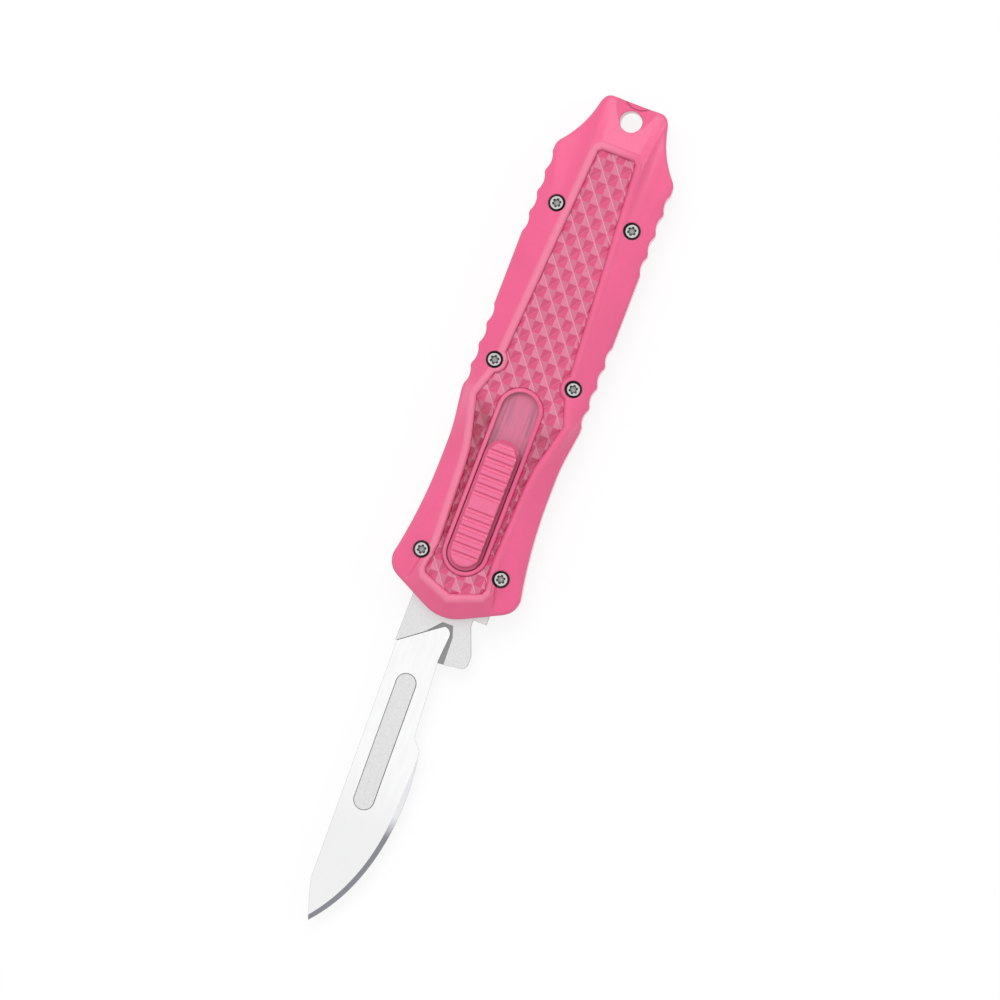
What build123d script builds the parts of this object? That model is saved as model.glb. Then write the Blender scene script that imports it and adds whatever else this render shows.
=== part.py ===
from build123d import *
from math import cos, radians, sin, tan
import os

# Out-the-front craft knife with a replaceable scalpel blade, all sizes in millimetres.
# +X runs along the handle towards the blade's tip, +Y towards the cutting edge's side, +Z out of the
# face with the thumb slide. The origin is the lanyard hole's axis at the handle's mid thickness.
# It is drawn with the blade out and the thumb slide forward.

# ---------------------------------------------------------------- driving sizes: handle
# forward of the lanyard hole
tail_x = -3.3                  # tail end
neck_x = -1.5                  # end of the tail's rounded corners
shoulder_x = 7.4               # start of the shoulder, where the neck's hollow ends
straight_x = 8.9               # start of the straight sides
channel_start = 11.5           # rear end of the blade carrier's channel
# back from the point of the mouth
slant_end_back = 1.1           # start of the rounded point
mouth_back = 3.95              # start of the mouth's slanted ends
corner_back = 7.6              # widest point, just behind the mouth
waist_end_back = 26.2
waist_back = 29.9
bulge_back = 38.9              # widest point of the recess, start of the waist
straight_end_back = 44.8       # end of the straight sides and of the recess's even taper
# half widths
tail_half = 4.3
neck_half = 6.35
shoulder_half = 10.75
straight_half = 11.17
waist_half = 10.2
corner_half = 12.05
mouth_half = 9.75
slant_end_half = 4.05
neck_hollow = 0.6              # depth of the neck's hollow curve
mouth_slant = 63.2             # degrees between the mouth's slanted ends and the knife's length
half_thickness = 5.4
edge_height = 3.3              # height of the outer edge over the mid plane
edge_round = 0.45
parting = 2.0                  # height of the joint between the shells

# raised border round the recess
crest_width = 1.35
crest_round = 0.35
recess_depth = 0.9
recess_tail_x = 6.5
recess_flare_back = 11.9       # back from the point of the mouth
recess_mouth_back = 7.1
recess_corner_back = 6.3
recess_nose_back = 4.3
recess_tail_half = 3.5
recess_clip = 0.5              # cut-off corners at the tail
recess_straight_half = 6.2     # at the end of the straight sides
recess_bulge_half = 8.15
recess_waist_half = 5.85
recess_waist_end_half = 5.5
recess_flare_half = 4.95
recess_mouth_half = 5.65
recess_corner_half = 5.3

# finger scallops in the sides
scallop_pitch = 3.9
scallop_depth = 0.45
scallop_radius = 3.3
rear_scallop_x = 11.4
front_scallop_back = 53.4
scallop_count = 4

# lanyard hole and the scoop round it
lanyard_radius = 2.0
scoop_radius = 6.4
scoop_tilt = 28.0              # degrees that the scoop's bottom climbs towards the blade
scoop_height = 1.6             # height of the scoop's bottom at the tail end

# case screws
rear_screw_x = 18.1
middle_screw_back = 45.8
front_screw_back = 9.9
rear_screw_half = 7.1
middle_screw_half = 7.45
front_screw_half = 7.5
screw_head_radius = 1.3
screw_head_height = 0.95
screw_shank_radius = 0.95
screw_chamfer = 0.2
screw_seat = 3.75              # height of the counterbore's floor
screw_tip = -0.1
counterbore_radius = 1.52
screw_boss_radius = 2.35
socket_radius = 0.85
socket_depth = 0.6
socket_lobe = 0.25             # radius of the socket's six lobes
fit = 0.03                     # radial clearance of seated pins and screws

# slot for the thumb slide
slot_gap = 0.2                 # all round the thumb slide, at both ends of its travel
rim_width = 0.8
rim_drop = 0.25                # rim top below the border's top
pocket_floor = 3.9

# ---------------------------------------------------------------- driving sizes: mechanism
blade_travel = 60.0
slide_travel = 8.8
running = 0.1                  # running gap of sliding plates
channel_floor = -3.0
channel_top = -0.35
finger_ledge = 0.9             # ledge that the carriage and the mules slide on
plate_roof = 3.0
plate_half = 5.2               # half width of the carriage and of the mules
finger_channel_half = 4.3

stud_reach = 3.0               # from the carrier's tail end to the drive stud
stud_radius = 1.2
stud_shank = 0.8
stud_top = 0.8
finger_thickness = 1.5
finger_half = 2.2
mule_length = 6.0
spring_offset = 3.0
spring_radius = 0.7
spring_bore = 0.45
groove_width = 1.6
groove_depth = 1.5
post_radius = 0.3
post_inset = 2.2               # from a mule's inner end to its spring posts
groove_run = 3.1               # length of a mule's spring grooves
eye_wire = 0.14
web_windows = 3
window_share = 0.75            # of the pitch of the carriage's windows

# forward of the carrier's tail end
mouth_reach = 19.1             # point of the handle's mouth, with the blade out
stub_forward = 16.2
lobe_forward = 19.05
blade_forward = 32.6           # centre of the blade slot's rear round
lobe_length = 7.65
carrier_half = 6.38
lug_depth = 0.82
lug_length = 2.2
stub_length = 1.6
stub_reach = 7.8
lobe_inner = 5.32
lobe_reach = 7.27
lobe_ramp = 4.95               # length of the lobe's sloping side
lobe_round = 1.2
land_back = 0.8                # end of the carrier's spine side, back from the lobe's end
crown = 0.5                    # how far the carrier's front end bows out
blade_seat = -1.6              # height of the floor that the blade lies on
tongue_bottom = -2.6
tongue_half = 3.0
tongue_length = 25.5           # past the centre of the blade slot's rear round
tongue_round = 1.0

blade_y = -1.84
blade_cant = 1.1               # degrees that the blade leans towards its edge
blade_thickness = 0.4
# in the blade's own frame, with the edge towards +Y
blade_tip_x = 45.4
tip_drop = 2.1                 # the tip's distance from the slot's middle line
clip_length = 7.1              # length of the sloping back behind the tip
clip_break = 4.3
clip_break_half = 3.42
blade_spine = 4.15
blade_heel_x = 6.73
blade_heel_reach = 11.9
heel_slant = 1.98
heel_corner_half = 0.26
hook_start = 3.1               # the heel's hook, which locks the blade in the carrier
hook_half = 4.44
hook_length = 1.44
tang_x = 5.86
tang_half = 4.0
tang_end_x = 8.51
tang_end_half = 4.69
step_x = 10.31
step_half = 6.25
edge_start_x = 11.56
edge_start_half = 6.55
belly_x = 18.5
blade_belly = 7.05
edge_middle_x = 28.56
edge_middle_half = 6.07
edge_front_x = 39.83
edge_front_half = 1.96
heel_gap = 0.08
heel_room = 0.6                # free floor round the heel's hook
slot_span = 21.9               # between the centres of the blade slot's rounds
slot_half = 1.87
nib_gap = 0.08
nib_rise = 0.2
bevel_width = 0.9
bevel_drop = 0.15

button_back = 8.9              # its front end, back from the point of the mouth
button_length = 24.3
button_half = 3.2
button_top_half = 2.65
button_step = 5.3              # height of the base flange's top
button_top = 6.9
button_groove_radius = 0.42
button_groove_pitch = 1.58
button_round = 0.55
button_inset = 0.6             # of the pad's ends from the flange's
rear_groove = 1.1              # first cross groove, forward of the button's rear end
front_groove = 13.8            # first cross groove past the plain band
rear_grooves = 7
front_grooves = 6
stem_back = 12.9               # centre of the stem, back from the button's front end
stem_length = 4.0
stem_width = 2.2
stem_pin_radius = 0.4

latch_thickness = 0.7
latch_boss_radius = 0.85
latch_pin_radius = 0.45
latch_pin_seat = 1.0           # how far a latch pin goes into each shell
front_lever = 16.0             # from a latch's pivot to its tooth
rear_lever = 10.0
front_lever_side = 0.25        # from a latch's pivot to the lever's outer side
rear_lever_side = 0.2
front_pivot_gap = 1.1          # from the carrier's way to the pivot
rear_pivot_gap = 0.95
latch_end_room = 0.35          # room for a latch's boss at its pocket's end
front_latch_turn = 2.6         # degrees that each latch swings to let go
rear_latch_turn = 7.4
latch_bore_gap = 0.05
tooth_gap = 0.1                # between a tooth and what it locks
tooth_bite = 0.6               # how far the front tooth reaches behind the lug
rear_bite = 1.05               # how far the rear tooth reaches in front of the stub
front_tooth_length = 1.3
rear_tooth_length = 1.1
front_toe = 6.0                # from the pivot to the toe's near side
rear_toe = 5.1
toe_length = 1.4
cam_gap = 0.08                 # between the toes and the carriage's flanks
cam_land = 2.0                 # length of each cam's entry
front_toe_room = 0.4           # on each side of a toe, in its window
rear_toe_room = 0.8
leaf = 0.2                     # thickness of the latches' bow springs
front_bow_start = 2.5          # along the lever from the pivot
front_bow_length = 10.0
rear_bow_start = 3.1
rear_bow_length = 6.2
rear_bow_rise = 0.15
stop_pin_radius = 0.75
stop_pin_seat = 1.2
bumper_length = 2.8
bumper_half = 5.5
corner_round = 0.5             # corners of the mules and of the bumper

# ---------------------------------------------------------------- sizes that follow
# places along the handle, which is as long as the blade's travel needs
carrier_tail_x = channel_start + 3 * running + bumper_length + blade_travel
nose_x = carrier_tail_x + mouth_reach
slant_end_x = nose_x - slant_end_back
mouth_x = nose_x - mouth_back
corner_x = nose_x - corner_back
waist_end_x = nose_x - waist_end_back
waist_x = nose_x - waist_back
bulge_x = nose_x - bulge_back
straight_end_x = nose_x - straight_end_back
recess_flare_x = nose_x - recess_flare_back
recess_mouth_x = nose_x - recess_mouth_back
recess_corner_x = nose_x - recess_corner_back
recess_nose_x = nose_x - recess_nose_back
recess_floor = half_thickness - recess_depth
slant_cos = cos(radians(mouth_slant))
slant_sin = sin(radians(mouth_slant))
screw_rows = (
    (rear_screw_x, rear_screw_half),
    (nose_x - middle_screw_back, middle_screw_half),
    (nose_x - front_screw_back, front_screw_half),
)

# thumb slide and its slot
button_x = nose_x - button_back - button_length
button_middle = button_x + button_length / 2
stem_x = button_x + button_length - stem_back
slot_length = button_length + slide_travel + 2 * slot_gap
slot_width = 2 * (button_half + slot_gap)
slot_middle = button_x - slide_travel - slot_gap + slot_length / 2

# blade carrier and the ways that it runs in
stud_x = carrier_tail_x + stud_reach
stub_x = carrier_tail_x + stub_forward
lobe_x = carrier_tail_x + lobe_forward
lobe_end_x = lobe_x + lobe_length
blade_x = carrier_tail_x + blade_forward
carrier_bottom = channel_floor + running
carrier_top = channel_top - running
lug_half = carrier_half + lug_depth + running
stub_half = stub_reach + 2 * running
stop_pin_x = carrier_tail_x + lug_length + running / 2 + stop_pin_radius
stop_pin_y = -(carrier_half + 2 * running + stop_pin_radius)

# carriage, mules and main springs
plate_bottom = finger_ledge + running / 2
plate_top = plate_roof - running
finger_bottom = channel_top + running / 2
rail_x = stud_x + stud_radius + running + finger_thickness - mule_length  # carriage's front end
rear_mule_x = stud_x + 2 * running + slide_travel - blade_travel - 2 * stud_radius - finger_thickness
plate_start = rear_mule_x - 2 * slide_travel - 2 * running
plate_end = rail_x + mule_length + slide_travel + 2 * running
carriage_start = rear_mule_x + mule_length + running
carriage_end = rail_x - running
window_pitch = (stem_x - carriage_start) / (web_windows + 0.4)
spring_height = plate_bottom + groove_depth / 2
eye_radius = post_radius + eye_wire + cam_gap

# latches, their pockets and the cams that swing them
front_latch_x = carrier_tail_x - tooth_gap - front_lever
front_latch_y = -lug_half - front_pivot_gap
rear_latch_x = stub_x + stub_length - blade_travel + tooth_gap + rear_lever
rear_latch_y = stub_half + rear_pivot_gap
front_pocket_end = carrier_tail_x + 4 * running
front_pocket_wall = front_latch_y - latch_boss_radius - running
rear_pocket_end = stub_x + stub_length - blade_travel - 5 * running
rear_bow_end = rear_bow_start + rear_bow_length
rear_pocket_wall = rear_latch_y + rear_bow_end * sin(radians(rear_latch_turn)) + leaf + running
front_cam_x = front_latch_x + front_toe + toe_length
front_cam_rise = (front_toe + toe_length) * tan(radians(front_latch_turn))
front_cam_slope = front_cam_rise / slide_travel
rear_cam_x = rear_latch_x - rear_toe - toe_length
rear_cam_slope = (rear_toe + toe_length / 2) * tan(radians(rear_latch_turn)) / slide_travel
front_toe_reach = front_cam_rise - plate_half - cam_gap - front_latch_y
rear_toe_reach = rear_latch_y - plate_half + rear_cam_slope * slide_travel - cam_gap / 2

# ---------------------------------------------------------------- outlines


def handle_plan(inset=0.0):
    """The handle's plan, drawn inwards by inset: one half from tail to mouth, mirrored."""
    slant = (slant_cos, -slant_sin)
    side = slant_sin * inset
    end = slant_cos * inset
    tail = (tail_x + inset, tail_half - end)
    neck = (neck_x + end, neck_half - side)
    shoulder = (shoulder_x + end, shoulder_half - side)
    with BuildSketch(Plane.XY) as plan:
        with BuildLine():
            Line((tail_x + inset, 0), tail)
            Spline(tail, neck, tangents=[(0, 1), (1, 0.3)])
            Spline(
                neck,
                (
                    (neck[0] + shoulder[0] + neck_hollow) / 2,
                    (neck[1] + shoulder[1]) / 2 - neck_hollow,
                ),
                shoulder,
            )
            Spline(shoulder, (straight_x, straight_half - inset), tangents=[(1, 0.6), (1, 0)])
            Line((straight_x, straight_half - inset), (straight_end_x, straight_half - inset))
            Line((straight_end_x, straight_half - inset), (bulge_x, straight_half - inset))
            Spline(
                (bulge_x, straight_half - inset),
                (waist_x, waist_half - inset),
                tangents=[(1, -0.12), (1, 0)],
            )
            Line((waist_x, waist_half - inset), (waist_end_x, waist_half - inset))
            Spline(
                (waist_end_x, waist_half - inset),
                (corner_x, corner_half - inset),
                tangents=[(1, 0), (1, 0.2)],
            )
            Spline(
                (corner_x, corner_half - inset),
                (mouth_x - side, mouth_half - end),
                tangents=[(1, 0), slant],
            )
            Line((mouth_x - side, mouth_half - end), (slant_end_x - side, slant_end_half - end))
            Spline(
                (slant_end_x - side, slant_end_half - end),
                (nose_x - inset, 0),
                tangents=[slant, (0, -1)],
            )
            mirror(about=Plane.XZ)
        make_face()
    return plan.sketch


def border_points(grow):
    """Half plan of the recess, from tail to mouth, with its sides moved outwards by grow."""
    taper = (recess_straight_half - recess_tail_half) / (straight_end_x - recess_tail_x)
    return [
        (recess_tail_x - grow, 0),
        (recess_tail_x - grow, recess_tail_half - recess_clip + 0.4 * grow),
        (recess_tail_x + recess_clip - 0.4 * grow, recess_tail_half + grow),
        (shoulder_x, recess_tail_half + grow + taper * (shoulder_x - recess_tail_x)),
        (straight_x, recess_tail_half + grow + taper * (straight_x - recess_tail_x)),
        (straight_end_x, recess_straight_half + grow),
        (bulge_x, recess_bulge_half + grow),
        (waist_x, recess_waist_half + grow),
        (waist_end_x, recess_waist_end_half + grow),
        (recess_flare_x, recess_flare_half + grow),
        (recess_mouth_x, recess_mouth_half + grow),
        (recess_corner_x + slant_sin * grow, recess_corner_half + slant_cos * grow),
        (recess_nose_x + grow / slant_sin, 0),
    ]


def border_plan(grow=0.0):
    """The recess's plan, moved outwards by grow."""
    with BuildSketch(Plane.XY) as plan:
        with BuildLine():
            Polyline(*border_points(grow))
            mirror(about=Plane.XZ)
        make_face()
    return plan.sketch


def blade_plane(height):
    """Plane of the blade, centred on its slot's rear round and turned by its cant."""
    lean = radians(blade_cant)
    return Plane(origin=(blade_x, blade_y, height), x_dir=(cos(lean), sin(lean), 0), z_dir=(0, 0, 1))


def blade_plan(grind=0.0):
    """The blade's outline in its own frame, with the cutting edge ground back by grind."""
    tip = (
        blade_tip_x - grind,
        -tip_drop - grind * (clip_break_half - tip_drop) / clip_break,
    )
    with BuildSketch(Plane.XY) as plan:
        with BuildLine():
            Polyline(
                tip,
                (blade_tip_x - clip_break, -clip_break_half),
                (blade_tip_x - clip_length, -blade_spine),
                (-blade_heel_x, -blade_spine),
                (heel_slant - blade_heel_reach, heel_corner_half),
                (-blade_heel_reach, hook_start),
            )
            ThreePointArc(
                (-blade_heel_reach, hook_start),
                (0.25 * hook_length - blade_heel_reach, (hook_start + 2 * hook_half) / 3),
                (hook_length - blade_heel_reach, hook_half),
            )
            Polyline(
                (hook_length - blade_heel_reach, hook_half),
                (-tang_x, tang_half),
                (tang_end_x, tang_end_half),
                (step_x, step_half),
                (edge_start_x, edge_start_half),
            )
            Spline(
                (edge_start_x, edge_start_half),
                (belly_x, blade_belly - grind),
                (edge_middle_x - 0.3 * grind, edge_middle_half - grind),
                (edge_front_x - 0.5 * grind, edge_front_half - 0.9 * grind),
                tip,
            )
        make_face()
    return plan.sketch


def latch_plane(x, y, turn, height):
    """Plane of a latch, centred on its pivot and turned by some degrees."""
    return Plane(
        origin=(x, y, height), x_dir=(cos(radians(turn)), sin(radians(turn)), 0), z_dir=(0, 0, 1)
    )


scallops = [
    (first + i * scallop_pitch, side * (straight_half - scallop_depth + scallop_radius))
    for first in (rear_scallop_x, nose_x - front_scallop_back)
    for i in range(scallop_count)
    for side in (1, -1)
]
screws = [(x, side * y) for x, y in screw_rows for side in (1, -1)]
latch_pins = [(front_latch_x, front_latch_y), (rear_latch_x, rear_latch_y)]
scoop_lean = radians(scoop_tilt)

os.makedirs("parts", exist_ok=True)

# ---------------------------------------------------------------- front shell
with BuildPart() as front_shell:
    with BuildSketch(Plane.XY.offset(parting)):
        add(handle_plan())
    extrude(amount=edge_height - edge_round - parting)
    with BuildSketch(Plane.XY.offset(edge_height - edge_round)):
        add(handle_plan())
    with BuildSketch(Plane.XY.offset(edge_height)):
        add(handle_plan(edge_round))
    with BuildSketch(Plane.XY.offset(half_thickness - crest_round)):
        add(border_plan(crest_width + crest_round / 2))
    with BuildSketch(Plane.XY.offset(half_thickness)):
        add(border_plan(crest_width - crest_round))
    loft(ruled=True)
    # the recess, with bosses left standing round the screws and a rim round the slot
    with BuildSketch(Plane.XY.offset(recess_floor)):
        add(border_plan())
        with Locations(*screws):
            Circle(screw_boss_radius, mode=Mode.SUBTRACT)
    extrude(amount=2 * recess_depth, mode=Mode.SUBTRACT)
    recess_lip = front_shell.faces().sort_by(Axis.Z)[-1].inner_wires()[0].edges()
    chamfer(recess_lip, crest_round)
    with BuildSketch(Plane.XY.offset(recess_floor - running)):
        with Locations((slot_middle, 0)):
            SlotOverall(slot_length + 2 * rim_width, slot_width + 2 * rim_width)
    extrude(amount=recess_depth + running - rim_drop)
    rim_lip = front_shell.faces().filter_by(Plane.XY).group_by(Axis.Z)[-2].edges()
    chamfer(rim_lip, rim_drop)
    with BuildSketch(Plane.XY.offset(pocket_floor)):
        with Locations((slot_middle, 0)):
            SlotOverall(slot_length, slot_width)
    extrude(amount=half_thickness, mode=Mode.SUBTRACT)
    with BuildSketch(Plane.XY.offset(parting)):
        with Locations((stem_x - slide_travel / 2, 0)):
            Rectangle(stem_length + slide_travel + 3 * running, stem_width + 2 * running)
    extrude(amount=half_thickness, mode=Mode.SUBTRACT)
    # roof of the channel that the carriage and the mules run in
    with BuildSketch(Plane.XY.offset(parting)):
        with Locations(((plate_start + plate_end) / 2, 0)):
            Rectangle(plate_end - plate_start, 2 * (plate_half + running))
    extrude(amount=plate_roof - parting, mode=Mode.SUBTRACT)
    with Locations(*[(x, y, half_thickness) for x, y in scallops]):
        Cylinder(scallop_radius, 4 * half_thickness, mode=Mode.SUBTRACT)
    with Locations(*[(x, y, screw_seat) for x, y in screws]):
        Cylinder(
            counterbore_radius,
            half_thickness,
            align=(Align.CENTER, Align.CENTER, Align.MIN),
            mode=Mode.SUBTRACT,
        )
        Cylinder(screw_shank_radius + fit, 2 * half_thickness, mode=Mode.SUBTRACT)
    with Locations(*[(x, y, parting) for x, y in latch_pins]):
        Cylinder(latch_pin_radius + fit, 2 * latch_pin_seat, mode=Mode.SUBTRACT)
    # scoop that opens to the tail end, then the lanyard hole through it
    scoop_plane = Plane(
        origin=(
            tail_x - scoop_radius * sin(scoop_lean),
            0,
            scoop_height + scoop_radius * cos(scoop_lean),
        ),
        z_dir=(cos(scoop_lean), 0, sin(scoop_lean)),
    )
    with BuildSketch(scoop_plane):
        Circle(scoop_radius)
    extrude(amount=3 * scoop_radius, both=True, mode=Mode.SUBTRACT)
    Cylinder(lanyard_radius, 4 * half_thickness, mode=Mode.SUBTRACT)
front_shell.part.label = "front_shell"
export_step(front_shell.part, "parts/front_shell.step")

# ---------------------------------------------------------------- back shell
with BuildPart() as back_shell:
    with BuildSketch(Plane.XY.offset(-(edge_height - edge_round))):
        add(handle_plan())
    extrude(amount=edge_height - edge_round + parting)
    with BuildSketch(Plane.XY.offset(-(edge_height - edge_round))):
        add(handle_plan())
    with BuildSketch(Plane.XY.offset(-edge_height)):
        add(handle_plan(edge_round))
    with BuildSketch(Plane.XY.offset(-(half_thickness - crest_round))):
        add(border_plan(crest_width + crest_round / 2))
    with BuildSketch(Plane.XY.offset(-half_thickness)):
        add(border_plan(crest_width - crest_round))
    loft(ruled=True)
    with BuildSketch(Plane.XY.offset(-recess_floor)):
        add(border_plan())
    extrude(amount=-2 * recess_depth, mode=Mode.SUBTRACT)
    back_lip = back_shell.faces().sort_by(Axis.Z)[0].inner_wires()[0].edges()
    chamfer(back_lip, crest_round)
    # wide channel for the blade carrier, open at the mouth
    with BuildSketch(Plane.XY.offset(channel_floor)):
        with BuildLine():
            Polyline(
                (channel_start, -lug_half),
                (stop_pin_x, -lug_half),
                (stop_pin_x, -carrier_half - running),
                (nose_x + stub_length, -carrier_half - running),
                (nose_x + stub_length, stub_half),
                (stub_x - blade_travel - 2 * running, stub_half),
                (stub_x - blade_travel - 2 * running, carrier_half + running),
                (channel_start, carrier_half + running),
                close=True,
            )
        make_face()
    extrude(amount=channel_top - channel_floor, mode=Mode.SUBTRACT)
    # narrow channel for the fingers, and the wider one above it for the carriage and the mules
    with BuildSketch(Plane.XY.offset(channel_top)):
        with Locations(((plate_start + plate_end) / 2, 0)):
            Rectangle(plate_end - plate_start, 2 * finger_channel_half)
    extrude(amount=finger_ledge - channel_top, mode=Mode.SUBTRACT)
    with BuildSketch(Plane.XY.offset(finger_ledge)):
        with Locations(((plate_start + plate_end) / 2, 0)):
            Rectangle(plate_end - plate_start, 2 * (plate_half + running))
    extrude(amount=parting - finger_ledge, mode=Mode.SUBTRACT)
    # pockets for the latches, and the windows that their toes reach through
    with BuildSketch(Plane.XY.offset(channel_floor)):
        with BuildLine():
            Polyline(
                (front_latch_x - latch_boss_radius - latch_end_room, -lug_half + running),
                (front_pocket_end, -lug_half + running),
                (front_pocket_end, front_pocket_wall),
                (front_latch_x - latch_boss_radius - latch_end_room, front_pocket_wall),
                close=True,
            )
        make_face()
        with BuildLine():
            Polyline(
                (rear_latch_x + latch_boss_radius + latch_end_room, stub_half - running),
                (
                    rear_latch_x + latch_boss_radius + latch_end_room,
                    rear_latch_y + latch_boss_radius + 2 * running,
                ),
                (rear_latch_x - latch_boss_radius, rear_latch_y + latch_boss_radius + 2 * running),
                (rear_pocket_end, rear_pocket_wall),
                (rear_pocket_end, stub_half - running),
                close=True,
            )
        make_face()
    extrude(amount=parting - channel_floor, mode=Mode.SUBTRACT)
    with BuildSketch(Plane.XY.offset(finger_ledge)):
        with Locations((front_latch_x + front_toe + toe_length / 2, -(lug_half + plate_half) / 2)):
            Rectangle(toe_length + 2 * front_toe_room, lug_half - plate_half + 2 * running)
        with Locations((rear_latch_x - rear_toe - toe_length / 2, (stub_half + plate_half) / 2)):
            Rectangle(toe_length + 2 * rear_toe_room, stub_half - plate_half + 2 * running)
    extrude(amount=parting - finger_ledge, mode=Mode.SUBTRACT)
    with Locations(*[(x, y, half_thickness) for x, y in scallops]):
        Cylinder(scallop_radius, 4 * half_thickness, mode=Mode.SUBTRACT)
    with Locations(*[(x, y, screw_tip - running) for x, y in screws]):
        Cylinder(
            screw_shank_radius + fit,
            half_thickness,
            align=(Align.CENTER, Align.CENTER, Align.MIN),
            mode=Mode.SUBTRACT,
        )
    with Locations(*[(x, y, channel_floor) for x, y in latch_pins]):
        Cylinder(latch_pin_radius + fit, 2 * latch_pin_seat, mode=Mode.SUBTRACT)
    with Locations((stop_pin_x, stop_pin_y, channel_floor - stop_pin_seat)):
        Cylinder(
            stop_pin_radius + fit,
            half_thickness + parting,
            align=(Align.CENTER, Align.CENTER, Align.MIN),
            mode=Mode.SUBTRACT,
        )
    back_scoop_plane = Plane(
        origin=(
            tail_x - scoop_radius * sin(scoop_lean),
            0,
            -scoop_height - scoop_radius * cos(scoop_lean),
        ),
        z_dir=(cos(scoop_lean), 0, -sin(scoop_lean)),
    )
    with BuildSketch(back_scoop_plane):
        Circle(scoop_radius)
    extrude(amount=3 * scoop_radius, both=True, mode=Mode.SUBTRACT)
    Cylinder(lanyard_radius, 4 * half_thickness, mode=Mode.SUBTRACT)
back_shell.part.label = "back_shell"
export_step(back_shell.part, "parts/back_shell.step")

# ---------------------------------------------------------------- case screws, one group
with BuildPart() as case_screws:
    with Locations(*[(x, y, screw_seat) for x, y in screws]):
        Cylinder(
            screw_head_radius,
            screw_head_height,
            align=(Align.CENTER, Align.CENTER, Align.MIN),
        )
    chamfer(case_screws.edges().group_by(Axis.Z)[-1], screw_chamfer)
    with Locations(*[(x, y, screw_seat) for x, y in screws]):
        Cylinder(
            screw_shank_radius,
            screw_seat - screw_tip,
            align=(Align.CENTER, Align.CENTER, Align.MAX),
        )
    # six-lobe sockets
    with BuildSketch(Plane.XY.offset(screw_seat + screw_head_height - socket_depth)):
        with Locations(*screws):
            Circle(socket_radius - socket_lobe)
            with PolarLocations(socket_radius - socket_lobe, 6):
                Circle(socket_lobe)
    extrude(amount=screw_head_height, mode=Mode.SUBTRACT)
case_screws.part.label = "case_screws"
export_step(case_screws.part, "parts/case_screws.step")

# ---------------------------------------------------------------- thumb slide
with BuildPart() as thumb_slide:
    with BuildSketch(Plane.XY.offset(pocket_floor + running / 2)):
        with Locations((button_middle, 0)):
            SlotOverall(button_length, 2 * button_half)
    extrude(amount=button_step - pocket_floor - running / 2)
    with BuildSketch(Plane.XY.offset(button_step)):
        with Locations((button_middle, 0)):
            SlotOverall(button_length - 2 * button_inset, 2 * button_top_half)
    extrude(amount=button_top - button_step)
    fillet(thumb_slide.edges().group_by(Axis.Z)[-1], button_round)
    # two runs of cross grooves with a plain band between them
    grooves = [button_x + rear_groove + i * button_groove_pitch for i in range(rear_grooves)]
    grooves += [button_x + front_groove + i * button_groove_pitch for i in range(front_grooves)]
    with BuildSketch(Plane.XZ):
        with Locations(*[(x, button_top) for x in grooves]):
            Circle(button_groove_radius)
    extrude(amount=2 * button_half, both=True, mode=Mode.SUBTRACT)
    with BuildSketch(Plane.XY.offset(plate_bottom + running)):
        with Locations((stem_x, 0)):
            Rectangle(stem_length, stem_width)
    extrude(amount=pocket_floor - plate_bottom)
    with BuildSketch(Plane.XZ):
        with Locations((stem_x, (plate_bottom + plate_top) / 2)):
            Circle(stem_pin_radius + fit)
    extrude(amount=stem_width, both=True, mode=Mode.SUBTRACT)
thumb_slide.part.label = "thumb_slide"
export_step(thumb_slide.part, "parts/thumb_slide.step")

# ---------------------------------------------------------------- slide carriage and its cross pin
with BuildPart() as slide_carriage:
    with BuildSketch(Plane.XY.offset(plate_bottom)):
        with BuildLine():
            Polyline(
                (carriage_start, -plate_half),
                (front_cam_x - 2 * cam_land, -plate_half),
                (front_cam_x - cam_land, -plate_half + front_cam_rise + cam_land * front_cam_slope),
                (
                    carriage_end,
                    -plate_half + front_cam_rise - front_cam_slope * (carriage_end - front_cam_x),
                ),
                (carriage_end, plate_half),
                (rear_cam_x + slide_travel + toe_length + cam_land, plate_half),
                (
                    rear_cam_x + slide_travel + toe_length,
                    plate_half - rear_cam_slope * (slide_travel + toe_length),
                ),
                (rear_cam_x, plate_half),
                (carriage_start, plate_half),
                close=True,
            )
        make_face()
        # windows that lighten the web between the springs
        with Locations(*[(carriage_start + (i + 0.6) * window_pitch, 0) for i in range(web_windows)]):
            SlotOverall(window_share * window_pitch, stem_width, mode=Mode.SUBTRACT)
        with Locations((stem_x, 0)):
            Rectangle(stem_length + 2 * fit, stem_width + 2 * fit, mode=Mode.SUBTRACT)
    extrude(amount=plate_top - plate_bottom)
    # grooves that the two springs lie in
    with BuildSketch(Plane.XY.offset(plate_bottom)):
        with Locations(
            *[((carriage_start + carriage_end) / 2, side * spring_offset) for side in (1, -1)]
        ):
            Rectangle(2 * (carriage_end - carriage_start), groove_width)
    extrude(amount=groove_depth, mode=Mode.SUBTRACT)
    with BuildSketch(Plane.XZ):
        with Locations((stem_x, (plate_bottom + plate_top) / 2)):
            Circle(stem_pin_radius + fit)
    extrude(amount=spring_offset - groove_width / 2, both=True, mode=Mode.SUBTRACT)
slide_carriage.part.label = "slide_carriage"
export_step(slide_carriage.part, "parts/slide_carriage.step")

with BuildPart() as stem_pin:
    with BuildSketch(Plane.XZ):
        with Locations((stem_x, (plate_bottom + plate_top) / 2)):
            Circle(stem_pin_radius)
    extrude(amount=spring_offset - groove_width / 2 - running, both=True)
stem_pin.part.label = "stem_pin"
export_step(stem_pin.part, "parts/stem_pin.step")

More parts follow.
